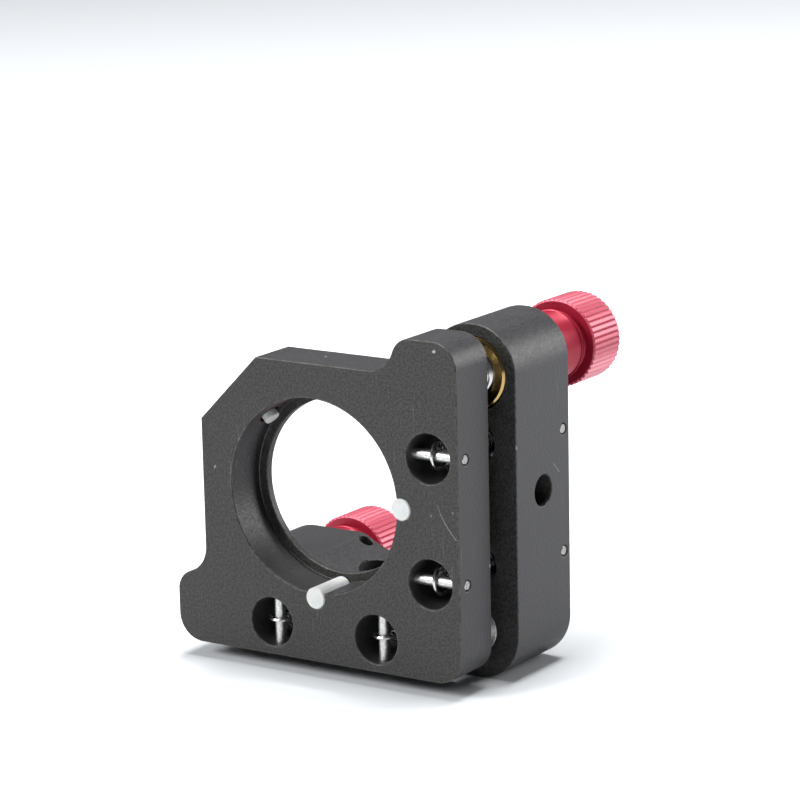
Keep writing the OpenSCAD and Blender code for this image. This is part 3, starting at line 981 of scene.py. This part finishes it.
class MOUNT_OT_knobs(bpy.types.Operator):
    """Turn and knurl the two red knobs"""

    bl_idname = "mount.knobs"
    bl_label = "Knobs"

    def execute(self, context):
        for side in SIDES:
            node = side + "_knob"
            low, high = span(node, 1)
            x_low, x_high = span(node, 0)
            full, centre = (x_high - x_low) / 2, middle(node)
            bore, head = screw_radius(side) + KNOB_FIT, low + HUB_LENGTH
            rows = [(bore, low + KNOB_MOUTH), (bore + KNOB_MOUTH, low)]
            rows += [(HUB_RADIUS + rise, low + behind) for rise, behind in HUB_ROWS]
            rows += [(HUB_RADIUS - NECK_DROP, head - NECK_FILLET),
                     (HUB_RADIUS - NECK_DROP + NECK_FILLET, head)]
            rows += [(full - inset, head) for inset in HEAD_FACE]
            for k in range(NOSE_STEPS + 1):
                t = k / NOSE_STEPS
                rows.append((full - HEAD_NOSE + HEAD_NOSE * t, head + HEAD_NOSE_DEPTH * t,
                             "knurl", full))
            tail = high - HEAD_TAIL
            for k in range(TAIL_STEPS + 1):
                t = k / TAIL_STEPS
                rows.append((full - TAIL_INSET * t, tail + TAIL_DEPTH * t, "knurl", full))
            rows += [(full - inset, high - ahead) for inset, ahead in HEAD_REAR]
            rows += [(bore + rise, high - ahead) for rise, ahead in KNOB_REAR]
            form = turned(rows, KNURL_STEPS * sizes().knurl_ridges, closed=True)
            obj = mesh_piece(side + "_knob_knurled", *form, red_anodise(), (centre.x, 0, centre.z),
                             KNOB_SMOOTH_ANGLE)
            # Painted shade: the hub, neck and head's front face take the darker copy of the red
            obj.data.materials.append(deep_red_anodise())
            for face in obj.data.polygons:
                if face.center.y < (head + FACE_MARGIN) * MM:
                    face.material_index = 1
            stands_for(obj, side + "_adjuster", "red_anodise", node)
        return {"FINISHED"}


class MOUNT_OT_balls_and_seats(bpy.types.Operator):
    """Build the pivot ball, the two tip balls and the hardened seats"""

    bl_idname = "mount.balls_and_seats"
    bl_label = "Balls and seats"

    def execute(self, context):
        for node, body in (("pitch_ball", "pitch_tip"), ("yaw_ball", "yaw_tip"),
                           ("pivot_ball", "pivot")):
            low, high = span(node, 1)
            radius, centre = (high - low) / 2, middle(node)
            angles = [math.pi * k / BALL_ROWS for k in range(1, BALL_ROWS)]
            rows = [(radius * math.sin(a), centre.y - radius * math.cos(a)) for a in angles]
            obj = mesh_piece(node + "_polished", *turned(rows, STEPS_ROUND["ball"]), turned_steel(),
                             (centre.x, 0, centre.z))
            stands_for(obj, body, "polished_steel", node)
        for node, body in (("pitch_groove_seat", "front"), ("yaw_flat_seat", "front"),
                           ("pivot_seat_front", "front"), ("pivot_seat_back", "base")):
            obj = broken_edges(node, node + "_ground", sizes().small_edge_break, [ground_steel()])
            stands_for(obj, body, "seat_steel", node)
        return {"FINISHED"}


# ---------------------------------------------------------------- the stage

LOOK_AT = (5.87, 12.0, -1.13)  # mm from the middle, the front face and the optical axis
SENSOR_MM = 36.0
SHIFT = (0.0016, 0.1131)
CLIP = (0.01, 20.0)
# The floor, in metres: its front edge, where it starts to rise, the bend's radius, the top
FLOOR_FRONT, BEND_Y, BEND_RADIUS, BACKDROP_TOP = -1.6, 0.9, 0.5, 2.4
BEND_STEPS, HALF_WIDTH = 10, 3.0
SKY_COLOUR, SKY_STRENGTH = (0.9, 0.95, 1.0, 1.0), 0.09
LIGHTS_AIM = (0, 0, 0.03)
# Name, place in metres, size in metres, watts
LIGHTS = (
    ("key", (-0.5, -0.75, 0.6), (0.4, 0.4), 12),
    ("rear", (0.65, 0.9, 0.35), (0.5, 0.6), 8),
    ("top", (0.0, 0.15, 1.0), (0.5, 0.5), 19),
)


def area_light(name, where, size, watts):
    """Links a rectangular lamp that looks at the mount."""
    data = bpy.data.lights.new(name, "AREA")
    data.shape = "RECTANGLE"
    data.size, data.size_y = size
    data.energy = watts * bpy.context.scene.mount_stage.light
    lamp = bpy.data.objects.new(name, data)
    bpy.context.scene.collection.objects.link(lamp)
    lamp.location = where
    lamp.rotation_euler = (Vector(LIGHTS_AIM) - Vector(where)).to_track_quat("-Z", "Y").to_euler()


def add_camera(scene):
    """A camera with the azimuth, elevation, roll and distance of the stage."""
    stage = scene.mount_stage
    azimuth, elevation = stage.azimuth, stage.elevation
    away = Vector((math.sin(azimuth) * math.cos(elevation),
                   -math.cos(azimuth) * math.cos(elevation), math.sin(elevation)))
    target = Vector((LOOK_AT[0], LOOK_AT[1] + FRONT_Y, AXIS_Z + LOOK_AT[2])) * MM
    data = bpy.data.cameras.new("Camera")
    data.sensor_width, data.lens = SENSOR_MM, stage.lens
    data.shift_x, data.shift_y = SHIFT
    data.clip_start, data.clip_end = CLIP
    camera = bpy.data.objects.new("Camera", data)
    scene.collection.objects.link(camera)
    right = Vector((math.cos(azimuth), math.sin(azimuth), 0))
    up = right.cross(-away)
    turned_right = right * math.cos(stage.roll) + up * math.sin(stage.roll)
    turned_up = up * math.cos(stage.roll) - right * math.sin(stage.roll)
    axes = Matrix((turned_right, turned_up, away)).transposed()
    camera.matrix_world = Matrix.Translation(target + away * stage.distance) @ axes.to_4x4()
    scene.camera = camera


def add_floor():
    """A plain floor that rises into a backdrop."""
    angles = [math.radians(90 * k / BEND_STEPS) for k in range(BEND_STEPS + 1)]
    rows = [(FLOOR_FRONT, 0.0)]
    rows += [(BEND_Y + BEND_RADIUS * math.sin(a), BEND_RADIUS - BEND_RADIUS * math.cos(a))
             for a in angles]
    rows.append((BEND_Y + BEND_RADIUS, BACKDROP_TOP))
    vertices = [(x, y, z) for y, z in rows for x in (-HALF_WIDTH, HALF_WIDTH)]
    faces = [(2 * i, 2 * i + 1, 2 * i + 3, 2 * i + 2) for i in range(len(rows) - 1)]
    mesh = bpy.data.meshes.new("floor")
    mesh.from_pydata(vertices, [], faces)
    mesh.shade_smooth()
    add_object("floor", mesh, [studio_floor()])


class MOUNT_OT_stage(bpy.types.Operator):
    """Set the camera, a plain floor and soft studio light"""

    bl_idname = "mount.stage"
    bl_label = "Stage"

    def execute(self, context):
        scene = context.scene
        add_camera(scene)
        add_floor()
        world = bpy.data.worlds.new("Studio")
        scene.world = world
        world.use_nodes = True
        sky = world.node_tree.nodes["Background"]
        sky.inputs["Color"].default_value = SKY_COLOUR
        sky.inputs["Strength"].default_value = SKY_STRENGTH
        for light in LIGHTS:
            area_light(*light)
        scene.view_settings.view_transform = "Standard"
        return {"FINISHED"}


class MOUNT_PT_panel(bpy.types.Panel):
    """Lists the steps that build the mount"""

    bl_idname = "MOUNT_PT_panel"
    bl_label = "Mirror Mount"
    bl_space_type = "VIEW_3D"
    bl_region_type = "UI"
    bl_category = "Mirror Mount"

    def draw(self, context):
        for step in STEPS:
            self.layout.operator(step.bl_idname)
        scene = context.scene
        for group in (scene.mount_sizes, scene.mount_finishes, scene.mount_stage):
            box = self.layout.box()
            for key in group.__annotations__:
                box.prop(group, key)


STEPS = (MOUNT_OT_plates, MOUNT_OT_optic_seat, MOUNT_OT_pins, MOUNT_OT_springs, MOUNT_OT_bushings,
         MOUNT_OT_screws, MOUNT_OT_knobs, MOUNT_OT_balls_and_seats, MOUNT_OT_stage)
CLASSES = (MountSizes, MountFinishes, MountStage, *STEPS, MOUNT_PT_panel)


def register():
    for cls in CLASSES:
        bpy.utils.register_class(cls)
    bpy.types.Scene.mount_sizes = bpy.props.PointerProperty(type=MountSizes)
    bpy.types.Scene.mount_finishes = bpy.props.PointerProperty(type=MountFinishes)
    bpy.types.Scene.mount_stage = bpy.props.PointerProperty(type=MountStage)


def unregister():
    for key in ("mount_sizes", "mount_finishes", "mount_stage"):
        delattr(bpy.types.Scene, key)
    for cls in reversed(CLASSES):
        bpy.utils.unregister_class(cls)


def main():
    register()
    for step in STEPS:
        area, name = step.bl_idname.split(".")
        getattr(getattr(bpy.ops, area), name)()


if __name__ == "__main__":
    main()
